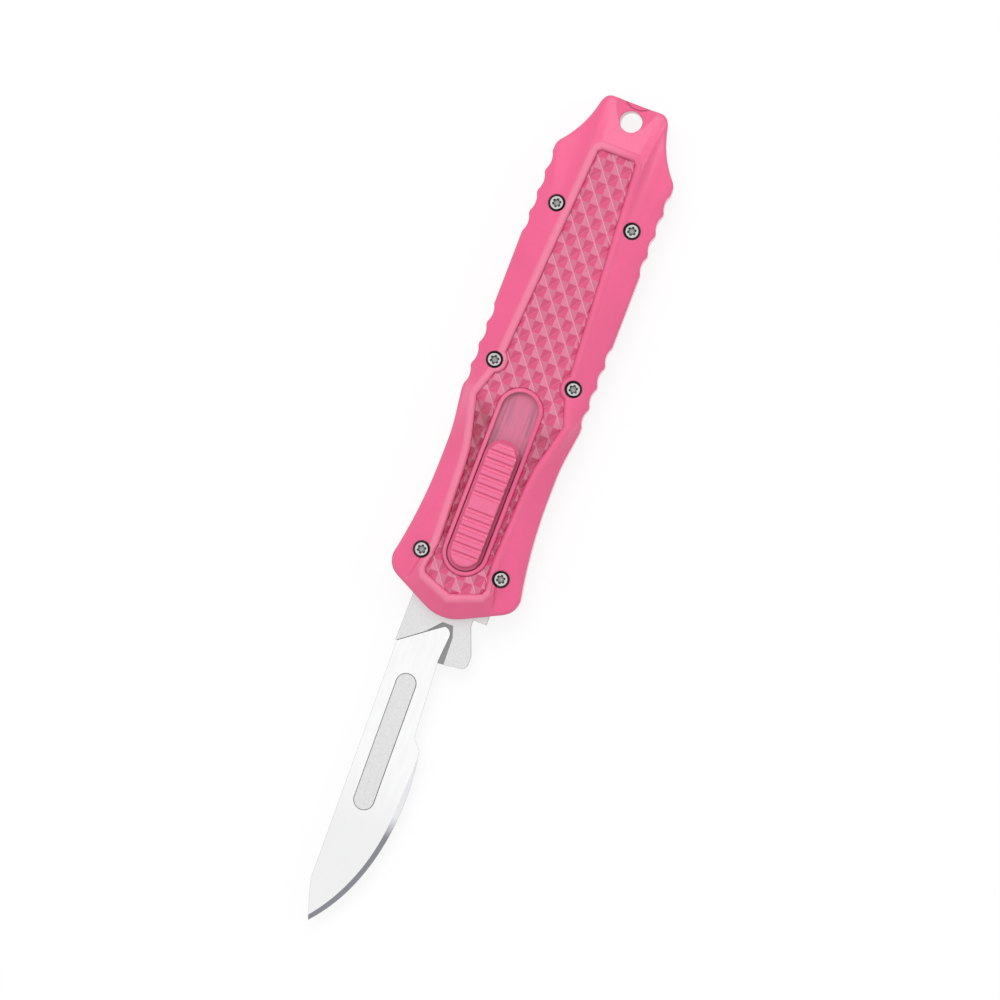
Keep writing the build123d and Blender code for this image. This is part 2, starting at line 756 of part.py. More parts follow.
# ---------------------------------------------------------------- mules: finger down, spring posts up
for name, near, far in (
    ("front_mule", rail_x, rail_x + mule_length),
    ("rear_mule", rear_mule_x + mule_length, rear_mule_x),
):
    way = 1 if far > near else -1
    with BuildPart() as mule:
        with BuildSketch(Plane.XY.offset(plate_bottom)):
            with Locations(((near + far) / 2, 0)):
                RectangleRounded(mule_length, 2 * plate_half, corner_round)
        extrude(amount=plate_top - plate_bottom)
        with BuildSketch(Plane.XY.offset(plate_bottom)):
            with Locations(*[(near + way * groove_run / 2, side * spring_offset) for side in (1, -1)]):
                Rectangle(groove_run, groove_width)
            with Locations(*[(near + way * post_inset, side * spring_offset) for side in (1, -1)]):
                Circle(post_radius, mode=Mode.SUBTRACT)
        extrude(amount=groove_depth, mode=Mode.SUBTRACT)
        with BuildSketch(Plane.XY.offset(finger_bottom)):
            with Locations((far - way * finger_thickness / 2, 0)):
                Rectangle(finger_thickness, 2 * finger_half)
        extrude(amount=plate_bottom - finger_bottom)
    mule.part.label = name
    export_step(mule.part, f"parts/{name}.step")

# ---------------------------------------------------------------- main springs, hooked on the posts
rear_post = rear_mule_x + mule_length - post_inset
front_post = rail_x + post_inset
for name, side in (("left_main_spring", -1), ("right_main_spring", 1)):
    with BuildPart() as spring:
        with BuildSketch(Plane.YZ.offset(rear_post + eye_radius - eye_wire)):
            with Locations((side * spring_offset, spring_height)):
                Circle(spring_radius)
                Circle(spring_bore, mode=Mode.SUBTRACT)
        extrude(amount=front_post - rear_post - 2 * (eye_radius - eye_wire))
        with Locations(
            *[(x, side * spring_offset, spring_height) for x in (rear_post, front_post)]
        ):
            Cylinder(eye_radius + eye_wire, 2 * eye_wire)
            Cylinder(eye_radius - eye_wire, 4 * eye_wire, mode=Mode.SUBTRACT)
    spring.part.label = name
    export_step(spring.part, f"parts/{name}.step")

# ---------------------------------------------------------------- blade carrier and its drive stud
with BuildPart() as blade_carrier:
    with BuildSketch(Plane.XY.offset(carrier_bottom)) as carrier_plan:
        with BuildLine():
            Polyline(
                (lobe_end_x, lobe_inner),
                (lobe_end_x, lobe_reach),
                (lobe_x + lobe_ramp, lobe_reach),
                (lobe_x, lobe_inner),
                (stub_x + stub_length, lobe_inner),
                (stub_x + stub_length, stub_reach),
                (stub_x, stub_reach),
                (stub_x, carrier_half),
                (carrier_tail_x, carrier_half),
                (carrier_tail_x, -carrier_half - lug_depth),
                (carrier_tail_x + lug_length, -carrier_half - lug_depth),
                (carrier_tail_x + lug_length, -carrier_half),
                (lobe_end_x - land_back, -carrier_half),
                (lobe_end_x, -carrier_half / 2),
            )
            ThreePointArc(
                (lobe_end_x, -carrier_half / 2),
                (lobe_end_x + crown, carrier_half / 6),
                (lobe_end_x, lobe_inner),
            )
        make_face()
        lobe_corner = carrier_plan.vertices().filter_by_position(Axis.Y, lobe_reach, lobe_reach)
        fillet(lobe_corner.sort_by(Axis.X)[-1], lobe_round)
    extrude(amount=carrier_top - carrier_bottom)
    # low floor that the blade's heel lies on
    with BuildSketch(blade_plane(blade_seat)):
        with BuildLine():
            Polyline(
                (blade_heel_x, -carrier_half),
                (-blade_heel_x, -blade_spine - heel_room),
                (-blade_heel_x - heel_gap, -blade_spine),
                (heel_slant - blade_heel_reach - heel_gap, heel_corner_half - heel_gap),
                (-blade_heel_reach - heel_room, hook_start - heel_room),
                (-blade_heel_reach - heel_room, hook_half),
                (hook_length - blade_heel_reach, hook_half + heel_room),
                (blade_heel_x, tang_end_half + heel_room),
                close=True,
            )
        make_face()
    extrude(amount=carrier_top - blade_seat + running, mode=Mode.SUBTRACT)
    # tongue below the blade and the nib through its slot
    with BuildSketch(blade_plane(tongue_bottom)):
        with Locations(((tongue_length - blade_heel_x) / 2, 0)):
            RectangleRounded(tongue_length + blade_heel_x, 2 * tongue_half, tongue_round)
    extrude(amount=blade_seat - tongue_bottom)
    with BuildSketch(blade_plane(blade_seat)):
        with Locations((slot_span / 2, 0)):
            SlotCenterToCenter(slot_span, 2 * (slot_half - nib_gap))
    extrude(amount=blade_thickness + nib_rise + running / 2)
    with Locations((stud_x, 0, carrier_bottom)):
        Cylinder(stud_shank + fit, 4 * half_thickness, mode=Mode.SUBTRACT)
blade_carrier.part.label = "blade_carrier"
export_step(blade_carrier.part, "parts/blade_carrier.step")

with BuildPart() as drive_stud:
    with Locations((stud_x, 0, carrier_top + running / 2)):
        Cylinder(stud_radius, stud_top - carrier_top, align=(Align.CENTER, Align.CENTER, Align.MIN))
    chamfer(drive_stud.edges().group_by(Axis.Z)[-1], running)
    with Locations((stud_x, 0, carrier_top + running / 2)):
        Cylinder(
            stud_shank,
            carrier_top - carrier_bottom - running / 2,
            align=(Align.CENTER, Align.CENTER, Align.MAX),
        )
drive_stud.part.label = "drive_stud"
export_step(drive_stud.part, "parts/drive_stud.step")

# ---------------------------------------------------------------- scalpel blade
blade_bottom = blade_seat + running / 2
with BuildPart() as scalpel_blade:
    with BuildSketch(blade_plane(blade_bottom)):
        add(blade_plan(bevel_width))
    with BuildSketch(blade_plane(blade_bottom + bevel_drop)):
        add(blade_plan())
    with BuildSketch(blade_plane(blade_bottom + blade_thickness - bevel_drop)):
        add(blade_plan())
    with BuildSketch(blade_plane(blade_bottom + blade_thickness)):
        add(blade_plan(bevel_width))
    loft(ruled=True)
    with BuildSketch(blade_plane(blade_bottom)):
        with Locations((slot_span / 2, 0)):
            SlotCenterToCenter(slot_span, 2 * slot_half)
    extrude(amount=blade_thickness, mode=Mode.SUBTRACT)
scalpel_blade.part.label = "scalpel_blade"
export_step(scalpel_blade.part, "parts/scalpel_blade.step")

# ---------------------------------------------------------------- latches, their pins and bow springs
front_tooth_reach = -front_latch_y - carrier_half - lug_depth + tooth_bite
with BuildPart() as front_latch:
    with BuildSketch(latch_plane(front_latch_x, front_latch_y, 0, carrier_bottom)):
        Circle(latch_boss_radius)
        with BuildLine():
            Polyline(
                (0, front_lever_side),
                (front_lever, front_lever_side),
                (front_lever, front_tooth_reach),
                (front_lever - front_tooth_length, front_tooth_reach),
                (front_lever - front_tooth_length, front_lever_side + latch_thickness),
                (0, latch_boss_radius),
                close=True,
            )
        make_face()
        Circle(latch_pin_radius + latch_bore_gap, mode=Mode.SUBTRACT)
    extrude(amount=carrier_top - carrier_bottom)
    with BuildSketch(latch_plane(front_latch_x, front_latch_y, 0, carrier_top)):
        with Locations((front_toe + toe_length / 2, front_lever_side + latch_thickness / 2)):
            Rectangle(toe_length, latch_thickness)
    extrude(amount=parting - running - carrier_top)
    with BuildSketch(latch_plane(front_latch_x, front_latch_y, 0, finger_ledge + running)):
        with Locations((front_toe + toe_length / 2, (front_lever_side + front_toe_reach) / 2)):
            Rectangle(toe_length, front_toe_reach - front_lever_side)
    extrude(amount=parting - finger_ledge - 2 * running)
front_latch.part.label = "front_latch"
export_step(front_latch.part, "parts/front_latch.step")

rear_tooth_reach = rear_latch_y - stub_reach + rear_bite
with BuildPart() as rear_latch:
    with BuildSketch(latch_plane(rear_latch_x, rear_latch_y, -rear_latch_turn, carrier_bottom)):
        Circle(latch_boss_radius)
        with BuildLine():
            Polyline(
                (0, -rear_lever_side),
                (-rear_lever, -rear_lever_side),
                (-rear_lever, -rear_tooth_reach),
                (-rear_lever + rear_tooth_length, -rear_tooth_reach),
                (-rear_lever + rear_tooth_length, -rear_lever_side - latch_thickness),
                (0, -latch_boss_radius),
                close=True,
            )
        make_face()
        Circle(latch_pin_radius + latch_bore_gap, mode=Mode.SUBTRACT)
    extrude(amount=carrier_top - carrier_bottom)
    with BuildSketch(latch_plane(rear_latch_x, rear_latch_y, -rear_latch_turn, carrier_top)):
        with Locations((-rear_toe - toe_length / 2, -rear_lever_side - latch_thickness / 2)):
            Rectangle(toe_length, latch_thickness)
    extrude(amount=parting - running - carrier_top)
    with BuildSketch(latch_plane(rear_latch_x, rear_latch_y, -rear_latch_turn, finger_ledge + running)):
        with Locations((-rear_toe - toe_length / 2, -(rear_lever_side + rear_toe_reach) / 2)):
            Rectangle(toe_length, rear_toe_reach - rear_lever_side)
    extrude(amount=parting - finger_ledge - 2 * running)
rear_latch.part.label = "rear_latch"
export_step(rear_latch.part, "parts/rear_latch.step")

for name, (x, y) in (("front_latch_pin", latch_pins[0]), ("rear_latch_pin", latch_pins[1])):
    with BuildPart() as latch_pin:
        with Locations((x, y, channel_floor - latch_pin_seat + fit)):
            Cylinder(
                latch_pin_radius,
                parting - channel_floor + 2 * latch_pin_seat - 2 * fit,
                align=(Align.CENTER, Align.CENTER, Align.MIN),
            )
    latch_pin.part.label = name
    export_step(latch_pin.part, f"parts/{name}.step")

with BuildPart() as front_latch_spring:
    with BuildSketch(Plane.XY.offset(carrier_bottom)):
        with BuildLine():
            bow = ThreePointArc(
                (front_latch_x + front_bow_start, front_pocket_wall + running),
                (
                    front_latch_x + front_bow_start + front_bow_length / 2,
                    front_latch_y + front_lever_side - running / 2 - leaf,
                ),
                (front_latch_x + front_bow_start + front_bow_length, front_pocket_wall + running),
            )
            offset(bow, amount=leaf, side=Side.LEFT)
        make_face()
    extrude(amount=carrier_top - carrier_bottom - running)
front_latch_spring.part.label = "front_latch_spring"
export_step(front_latch_spring.part, "parts/front_latch_spring.step")

with BuildPart() as rear_latch_spring:
    with BuildSketch(latch_plane(rear_latch_x, rear_latch_y, -rear_latch_turn, carrier_bottom)):
        with BuildLine():
            bow = ThreePointArc(
                (-rear_bow_end, 0),
                (-(rear_bow_start + rear_bow_end) / 2, -rear_bow_rise),
                (-rear_bow_start, 0),
            )
            offset(bow, amount=leaf, side=Side.LEFT)
        make_face()
    extrude(amount=carrier_top - carrier_bottom - running)
rear_latch_spring.part.label = "rear_latch_spring"
export_step(rear_latch_spring.part, "parts/rear_latch_spring.step")

# ---------------------------------------------------------------- stops
with BuildPart() as front_stop_pin:
    with Locations((stop_pin_x, stop_pin_y, channel_floor - stop_pin_seat + running)):
        Cylinder(
            stop_pin_radius,
            parting - channel_floor + stop_pin_seat - 2 * running,
            align=(Align.CENTER, Align.CENTER, Align.MIN),
        )
front_stop_pin.part.label = "front_stop_pin"
export_step(front_stop_pin.part, "parts/front_stop_pin.step")

with BuildPart() as rear_bumper:
    with BuildSketch(Plane.XY.offset(carrier_bottom)):
        with Locations((channel_start + running + bumper_length / 2, 0)):
            RectangleRounded(bumper_length, 2 * bumper_half, corner_round)
    extrude(amount=carrier_top - carrier_bottom)
rear_bumper.part.label = "rear_bumper"
export_step(rear_bumper.part, "parts/rear_bumper.step")
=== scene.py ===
import math

import bpy
import numpy as np
from mathutils import Matrix, Vector


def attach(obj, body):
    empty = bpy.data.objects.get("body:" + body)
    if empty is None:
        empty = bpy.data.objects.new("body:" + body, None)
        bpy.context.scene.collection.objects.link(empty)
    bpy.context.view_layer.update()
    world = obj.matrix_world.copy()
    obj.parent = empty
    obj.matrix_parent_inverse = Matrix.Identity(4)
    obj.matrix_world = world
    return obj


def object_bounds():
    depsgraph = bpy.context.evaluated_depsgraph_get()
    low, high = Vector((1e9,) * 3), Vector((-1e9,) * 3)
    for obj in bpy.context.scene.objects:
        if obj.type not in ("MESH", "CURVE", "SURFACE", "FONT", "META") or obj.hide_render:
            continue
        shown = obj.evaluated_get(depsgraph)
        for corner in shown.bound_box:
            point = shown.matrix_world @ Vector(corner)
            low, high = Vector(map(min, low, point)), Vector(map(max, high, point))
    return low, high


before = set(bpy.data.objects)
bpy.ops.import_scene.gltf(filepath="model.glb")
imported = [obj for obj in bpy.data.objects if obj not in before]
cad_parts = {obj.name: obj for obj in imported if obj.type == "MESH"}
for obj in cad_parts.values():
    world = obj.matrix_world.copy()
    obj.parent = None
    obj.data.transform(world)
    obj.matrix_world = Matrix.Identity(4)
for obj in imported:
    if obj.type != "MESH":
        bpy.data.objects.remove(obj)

bl_info = {
    "name": "Slide craft knife",
    "version": (1, 0, 0),
    "blender": (4, 5, 0),
    "location": "View3D > Sidebar > Craft knife",
    "description": "Paint, diamond texture, steel finishes and studio for a slide craft knife",
    "category": "Object",
}

CAD_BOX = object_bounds()
MM = 0.001

# ---------------------------------------------------------------- places on the knife, in millimetres
# one side of the recess round the slide and behind it, from the tail to the mouth
RECESS = np.array(
    [
        (6.5, 3.0),
        (7.0, 3.5),
        (48.9, 6.2),
        (54.8, 8.15),
        (63.8, 5.85),
        (67.5, 5.5),
        (81.8, 4.95),
        (86.6, 5.65),
        (87.4, 5.3),
        (89.4, 0.0),
    ]
)
# one screw of each pair, and those pairs whose bosses stand in the recess
SCREWS = ((18.1, 7.1), (47.9, 7.45), (83.8, 7.5))
BOSS_SCREWS = SCREWS[1:]
BOSS_RADIUS = 2.4
HOLE_RADIUS = 1.5
# pocket that the slide runs in, with the raised rim round it: middle, length and width
POCKET_ENDS = (51.5, 85.0)
POCKET_HALF = 3.4
RIM = (68.25, 35.3, 8.5)
# lattice of the studs: one crossing of its valleys, its ends and half its width, and its heights
X_VALLEY = 7.82
FIELD_ENDS = (5.0, 91.0)
FIELD_HALF = 9.0
PANEL_UNDERSIDE = 4.3
STUD_FOOT = 4.6
PANEL_GAP = 0.03
CUTTER_HEIGHTS = (3.0, 7.0)

# ---------------------------------------------------------------- colours of wear and dirt, and of painted light and shade
# painted highlight on the crest round the recess
CREST_HIGHLIGHT = (0.775, 0.188, 0.311)
POCKET_DUST = (0.45, 0.24, 0.32)
SCUFF = (0.2, 0.11, 0.16)
# painted shade in the screw holes
SCREW_HOLE_SHADE = (0.004, 0.003, 0.003)
# the slide's top painted paler, leaving painted shade in its grooves
SLIDE_TOP_LIGHT = (0.76, 0.125, 0.265)
# painted shade low on the slide's sides and up its flank on the cutting edge's side
SLIDE_FOOT_SHADE = (0.12, 0.02, 0.04)
FLANK_SHADE = (0.34, 0.006, 0.06)
# painted highlights on two faces of each stud
STUD_FACE_HIGHLIGHT = (0.6, 0.123, 0.233)
# painted highlights along the studs' ridges and in their creases
RIDGE_HIGHLIGHT = (0.75, 0.33, 0.45)
CREASE_HIGHLIGHT = (0.72, 0.27, 0.39)
STRIP_SHADE = (0.28, 0.01, 0.05)
# painted reflection: the blade's flats darker towards the tip
BLADE_FRONT_REFLECTION = (0.87, 0.87, 0.875)
BEVEL_BEHIND = (0.8, 0.8, 0.83)
# painted reflection: the ground bevel dark towards the tip
BEVEL_AHEAD_REFLECTION = (0.26, 0.26, 0.29)
# painted shade lines along the blade's edges
BLADE_EDGE_SHADE = (0.2, 0.2, 0.2)
# painted shade in the carrier's recess and along its edges
CARRIER_RECESS_SHADE = (0.15, 0.15, 0.155)
CARRIER_EDGE_SHADE = (0.12, 0.12, 0.12)
# painted shade in the screws' sockets and on their chamfers
SOCKET_WALL_SHADE = (0.02, 0.02, 0.02)
SOCKET_FLOOR_SHADE = (0.34, 0.34, 0.34)
SOCKET_RIM_SHADE = (0.05, 0.05, 0.05)

# ---------------------------------------------------------------- studio
# what the camera looks at, in millimetres
CAMERA_TARGET = (70.74, 2.21, 1.5)
# width of the camera's sensor in millimetres
SENSOR = 36.0
# half the floor's side in metres, its gap under the handle in millimetres, and how much of it glows
FLOOR_HALF = 1.5
FLOOR_GAP = 0.05
GLOW_SHARE = 0.86
# what the lamps look at, in metres
LAMP_TARGET = (0.05, 0.0, 0.0)
# name, azimuth and elevation in degrees, distance and side in metres, power in watts, seen by gloss
LAMPS = (
    ("top_box", 225.0, 68.0, 1.2, 0.6, 6.1, False),
    ("tail_box", 182.0, 56.0, 0.9, 0.42, 1.0, True),
    ("right_box", 128.0, 40.0, 0.8, 0.3, 0.75, True),
    ("left_box", 308.0, 40.0, 0.8, 0.3, 0.38, True),
)


# ---------------------------------------------------------------- settings
class HandleSettings(bpy.types.PropertyGroup):
    """Sizes and colours of the painted handle."""

    paint: bpy.props.FloatVectorProperty(
        name="Paint",
        description="Colour of the handle's paint",
        subtype="COLOR",
        size=3,
        min=0.0,
        max=1.0,
        default=(0.757, 0.085, 0.228),
    )
    panel_paint: bpy.props.FloatVectorProperty(
        name="Panel paint",
        description="Colour of the paint on the diamond studs, deeper than on the handle",
        subtype="COLOR",
        size=3,
        min=0.0,
        max=1.0,
        default=(0.64, 0.066, 0.18),
    )
    gloss: bpy.props.FloatProperty(
        name="Roughness",
        description="Roughness of the paint",
        subtype="FACTOR",
        default=0.34,
        min=0.0,
        max=1.0,
    )
    edge_softness: bpy.props.FloatProperty(
        name="Edge softness",
        description="Radius that the paint gives to each edge",
        subtype="DISTANCE",
        unit="LENGTH",
        default=0.45 * MM,
        min=0.0,
    )
    cell_length: bpy.props.FloatProperty(
        name="Stud pitch along",
        description="Half the length of one diamond stud",
        subtype="DISTANCE",
        unit="LENGTH",
        default=2.07 * MM,
        min=0.5 * MM,
    )
    cell_width: bpy.props.FloatProperty(
        name="Stud pitch across",
        description="Half the width of one diamond stud",
        subtype="DISTANCE",
        unit="LENGTH",
        default=1.62 * MM,
        min=0.5 * MM,
    )
    stud_height: bpy.props.FloatProperty(
        name="Stud height",
        description="Height of a diamond stud over the foot of its faces",
        subtype="DISTANCE",
        unit="LENGTH",
        default=0.68 * MM,
        min=0.0,
    )
    valley_width: bpy.props.FloatProperty(
        name="Valley width",
        description="Width of the flat strip between neighbouring studs",
        subtype="DISTANCE",
        unit="LENGTH",
        default=0.18 * MM,
        min=0.01 * MM,
    )


class SteelSettings(bpy.types.PropertyGroup):
    """Colours of the steel pieces."""

    blade: bpy.props.FloatVectorProperty(
        name="Blade",
        description="Colour of the polished blade",
        subtype="COLOR",
        size=3,
        min=0.0,
        max=1.0,
        default=(0.94, 0.94, 0.945),
    )
    carrier: bpy.props.FloatVectorProperty(
        name="Carrier",
        description="Colour of the tumbled blade carrier",
        subtype="COLOR",
        size=3,
        min=0.0,
        max=1.0,
        default=(0.75, 0.745, 0.75),
    )
    screw: bpy.props.FloatVectorProperty(
        name="Screws",
        description="Colour of the plated screws",
        subtype="COLOR",
        size=3,
        min=0.0,
        max=1.0,
        default=(0.6, 0.59, 0.59),
    )


class StudioSettings(bpy.types.PropertyGroup):
    """Camera and light."""

    camera_distance: bpy.props.FloatProperty(
        name="Camera distance",
        description="From the camera to the point that it looks at",
        subtype="DISTANCE",
        unit="LENGTH",
        default=1.0,
        min=0.2,
    )
    frame_width: bpy.props.FloatProperty(
        name="Frame width",
        description="Width of what the camera takes in at the handle",
        subtype="DISTANCE",
        unit="LENGTH",
        default=0.1772,
        min=0.01,
    )
    roll: bpy.props.FloatProperty(
        name="Roll",
        description="Turn of the knife in the picture",
        subtype="ANGLE",
        unit="ROTATION",
        default=math.radians(21.0),
    )
    tilt: bpy.props.FloatProperty(
        name="Tilt",
        description="How far the camera leans over the cutting edge's side",
        subtype="ANGLE",
        unit="ROTATION",
        default=math.radians(2.5),
    )
    sky: bpy.props.FloatProperty(
        name="Sky",
        description="Strength of the even light from all sides",
        default=0.55,
        min=0.0,
    )


# ---------------------------------------------------------------- node helpers
def new_material(name):
    """An empty node material with its output node."""
    material = bpy.data.materials.new(name)
    material.use_nodes = True
    tree = material.node_tree
    tree.nodes.clear()
    output = tree.nodes.new("ShaderNodeOutputMaterial")
    return material, tree, output


def add_node(tree, kind, inputs=None, **settings):
    """One node with its settings and the values or links of its inputs."""
    node = tree.nodes.new(kind)
    for key, value in settings.items():
        setattr(node, key, value)
    for key, value in (inputs or {}).items():
        if isinstance(value, bpy.types.NodeSocket):
            tree.links.new(value, node.inputs[key])
        else:
            node.inputs[key].default_value = value
    return node


def object_coordinates(tree, scale=(1.0, 1.0, 1.0), turn=0.0):
    """Object coordinates in millimetres, turned about Z and stretched."""
    place = add_node(tree, "ShaderNodeTexCoord").outputs["Object"]
    return add_node(
        tree,
        "ShaderNodeMapping",
        {
            "Vector": place,
            "Scale": tuple(s / MM for s in scale),
            "Rotation": (0.0, 0.0, turn),
        },
    ).outputs["Vector"]


def noise(tree, vector, scale, detail=3.0, roughness=0.55):
    """Value of a noise texture."""
    return add_node(
        tree,
        "ShaderNodeTexNoise",
        {"Vector": vector, "Scale": scale, "Detail": detail, "Roughness": roughness},
    ).outputs["Fac"]


def remap(tree, value, low, high, to_low, to_high):
    """Value moved from one range to another, and held within it."""
    return add_node(
        tree,
        "ShaderNodeMapRange",
        {"Value": value, "From Min": low, "From Max": high, "To Min": to_low, "To Max": to_high},
    ).outputs["Result"]


def blend_colours(tree, factor, first, second):
    """Mix of two colours."""
    node = tree.nodes.new("ShaderNodeMix")
    node.data_type = "RGBA"
    for socket, value in ((0, factor), (6, first), (7, second)):
        if isinstance(value, bpy.types.NodeSocket):
            tree.links.new(value, node.inputs[socket])
        elif socket == 0:
            node.inputs[socket].default_value = value
        else:
            node.inputs[socket].default_value = (*value[:3], 1.0)
    return node.outputs[2]


def shade(colour, factor):
    """A colour made lighter or darker."""
    return tuple(min(1.0, c * factor) for c in colour[:3])


def axes(tree, vector):
    """The three parts of a vector."""
    return add_node(tree, "ShaderNodeSeparateXYZ", {0: vector}).outputs


def calculate(tree, operation, first, second=0.0):
    """One sum on one or two values."""
    return add_node(tree, "ShaderNodeMath", {0: first, 1: second}, operation=operation).outputs[0]


def multiply(tree, *factors):
    """Product of several values."""
    product = factors[0]
    for factor in factors[1:]:
        product = calculate(tree, "MULTIPLY", product, factor)
    return product


def within(tree, value, low, high, soft):
    """1 where a value lies between two limits, and 0 outside them, with soft ends."""
    rise = remap(tree, value, low - soft, low, 0.0, 1.0)
    fall = remap(tree, value, high, high + soft, 1.0, 0.0)
    return multiply(tree, rise, fall)


def true_normal(tree):
    """The three parts of the direction in which the surface really faces."""
    return axes(tree, add_node(tree, "ShaderNodeNewGeometry").outputs["True Normal"])


def distance(tree, first, second):
    """How far apart two points lie."""
    apart = add_node(tree, "ShaderNodeVectorMath", {0: first, 1: second}, operation="DISTANCE")
    return apart.outputs["Value"]


def screw_distance(tree, place):
    """How far a point lies from the axis of the nearest screw, in millimetres."""
    far_away = 100.0
    fold = {0: place[0], 1: calculate(tree, "ABSOLUTE", place[1])}
    folded = add_node(tree, "ShaderNodeCombineXYZ", fold).outputs[0]
    nearest = far_away
    for x, y in SCREWS:
        nearest = calculate(tree, "MINIMUM", distance(tree, folded, (x, y, 0.0)), nearest)
    return nearest


def edge_line(tree, tone, width, colour, strength):
    """A thin line along each sharp edge, where the softened normal leaves the true one."""
    soft = add_node(tree, "ShaderNodeBevel", {"Radius": width}, samples=6).outputs["Normal"]
    true = add_node(tree, "ShaderNodeNewGeometry").outputs["True Normal"]
    match = add_node(tree, "ShaderNodeVectorMath", {0: soft, 1: true}, operation="DOT_PRODUCT")
    sharp = remap(tree, match.outputs["Value"], 0.99, 0.85, 0.0, strength)
    return blend_colours(tree, sharp, tone, colour)


# ---------------------------------------------------------------- materials
def paint_material(name, colour, roughness, softness, wear_and_light=None):
    """Satin paint: faint mottling, fine orange peel, and edges softened as thick paint softens them.
    The function given last adds the wear and the painted light and shade of one piece to its tone."""
    material, tree, output = new_material(name)
    place = object_coordinates(tree)
    cloud = noise(tree, place, 0.12, 2.0)
    mottle = noise(tree, place, 1.6, 4.0)
    peel = noise(tree, place, 3.2, 2.0, 0.4)
    cloudy = remap(tree, cloud, 0.35, 0.65, 0.0, 1.0)
    tone = blend_colours(tree, cloudy, shade(colour, 0.965), shade(colour, 1.03))
    tone = blend_colours(tree, remap(tree, mottle, 0.45, 0.75, 0.0, 0.18), tone, shade(colour, 0.9))
    if wear_and_light:
        tone = wear_and_light(tree, tone)
    soft = add_node(tree, "ShaderNodeBevel", {"Radius": softness}, samples=6)
    bump = add_node(
        tree,
        "ShaderNodeBump",
        {"Strength": 0.12, "Distance": 0.02 * MM, "Height": peel, "Normal": soft.outputs["Normal"]},
    )
    body = add_node(
        tree,
        "ShaderNodeBsdfPrincipled",
        {
            "Base Color": tone,
            "Roughness": remap(tree, mottle, 0.3, 0.7, roughness - 0.03, roughness + 0.05),
            "Specular IOR Level": 0.5,
            "Coat Weight": 1.0,
            "Coat IOR": 1.35,
            "Coat Roughness": 0.25,
            "Normal": bump.outputs["Normal"],
        },
    )
    tree.links.new(body.outputs["BSDF"], output.inputs["Surface"])
    return material


def shell_wear_and_light(tree, tone):
    """A painted highlight on the crest round the recess, most on the spine's side and at the mouth, grey
    lengthwise scuffs on the pocket's floor, and painted shade in the screw holes in the front."""
    place = axes(tree, object_coordinates(tree))
    along, across, height = place
    out_from_middle = calculate(tree, "ABSOLUTE", across)
    # painted highlight on the crest
    by_side = remap(tree, across, -4.0, 4.0, 0.9, 0.12)
    by_mouth = remap(tree, along, 84.0, 87.0, 0.0, 0.85)
    on_crest = remap(tree, calculate(tree, "ABSOLUTE", height), 4.95, 5.3, 0.0, 1.0)
    crest = multiply(tree, on_crest, calculate(tree, "MAXIMUM", by_side, by_mouth))
    tone = blend_colours(tree, crest, tone, CREST_HIGHLIGHT)
    # pocket
    in_length = within(tree, along, *POCKET_ENDS, 0.2)
    in_width = within(tree, out_from_middle, 0.0, POCKET_HALF, 0.2)
    pocket = multiply(tree, in_length, in_width, remap(tree, height, 4.2, 4.4, 1.0, 0.0))
    streaks = noise(tree, object_coordinates(tree, (0.12, 2.2, 1.0)), 1.0, 5.0, 0.65)
    patches = noise(tree, object_coordinates(tree, (0.35, 0.8, 1.0)), 0.8, 2.0)
    scuff = multiply(
        tree,
        remap(tree, streaks, 0.42, 0.62, 0.0, 1.0),
        remap(tree, patches, 0.3, 0.6, 0.3, 1.0),
        remap(tree, out_from_middle, 0.8, 2.6, 0.25, 1.0),
        pocket,
    )
    tone = blend_colours(tree, multiply(tree, pocket, 0.4), tone, POCKET_DUST)
    tone = blend_colours(tree, multiply(tree, scuff, 0.8), tone, SCUFF)
    # painted shade in the screw holes
    hole = remap(tree, screw_distance(tree, place), HOLE_RADIUS, HOLE_RADIUS + 0.12, 1.0, 0.0)
    hole = multiply(tree, hole, remap(tree, height, 0.0, 1.0, 0.0, 1.0))
    return blend_colours(tree, hole, tone, SCREW_HOLE_SHADE)


def slide_painted_light(tree, tone):
    """The slide's top painted paler, which leaves painted shade in its grooves, with painted shade low on its
    sides and all the way up the one on the cutting edge's side."""
    across, height = axes(tree, object_coordinates(tree))[1:]
    # the top painted paler, leaving painted shade in the grooves
    tone = blend_colours(tree, remap(tree, height, 5.8, 6.3, 0.0, 1.0), tone, SLIDE_TOP_LIGHT)
    # painted shade low on the sides and up the flank on the cutting edge's side
    tone = blend_colours(tree, remap(tree, height, 4.6, 5.5, 0.8, 0.0), tone, SLIDE_FOOT_SHADE)
    flank = multiply(tree, remap(tree, across, 2.45, 2.7, 0.0, 0.8), remap(tree, height, 5.6, 6.5, 1.0, 0.0))
    return blend_colours(tree, flank, tone, FLANK_SHADE)


